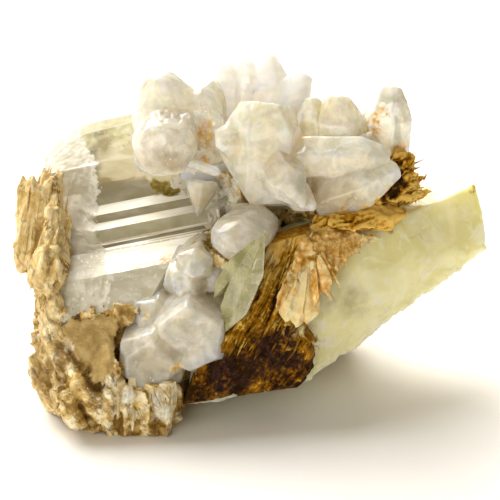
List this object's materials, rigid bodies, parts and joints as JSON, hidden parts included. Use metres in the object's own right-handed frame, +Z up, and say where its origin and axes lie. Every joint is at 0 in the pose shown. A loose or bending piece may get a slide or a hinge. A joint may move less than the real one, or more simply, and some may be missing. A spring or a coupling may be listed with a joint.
{
  "type": "datolite specimen",
  "caption": "Mineral specimen for display: a striped clear datolite crystal and a pale green datolite slab with milky quartz points and rusty fibres on brown rock.",
  "frame": {"origin": "middle of the bounding box, on the surface that the specimen stands on", "axes": "+X to the right along the specimen's length as seen from its front, -Y towards the viewer, +Z up"},
  "size_m": [0.0811, 0.0476, 0.0545],
  "materials": {
    "milky_quartz": "milky, half clear, satin crystal faces",
    "clear_datolite": "clear to pale green, glossy striped faces with a frosted crust",
    "pale_datolite": "waxy, half clear, pale yellow-green",
    "tan_fibres": "silky radiating fibres",
    "rust_fibres": "splintery, rusty brown to near black",
    "matrix": "matt, rough, broken tan rock"
  },
  "bodies": {
    "root": {"quartz_main_group": "milky_quartz", "quartz_left_group": "milky_quartz", "quartz_tall_point": "milky_quartz", "quartz_rear_row": "milky_quartz", "quartz_front_lumps": "milky_quartz", "quartz_knob": "milky_quartz", "quartz_sliver": "milky_quartz", "datolite_prism": "clear_datolite", "green_blade_left": "clear_datolite", "green_blade_right": "clear_datolite", "datolite_slab": "pale_datolite", "tan_fan": "tan_fibres", "rust_bundle": "rust_fibres", "rust_spray": "rust_fibres", "rust_ledge": "rust_fibres", "matrix_rock": "matrix"}
  },
  "joints": []
}
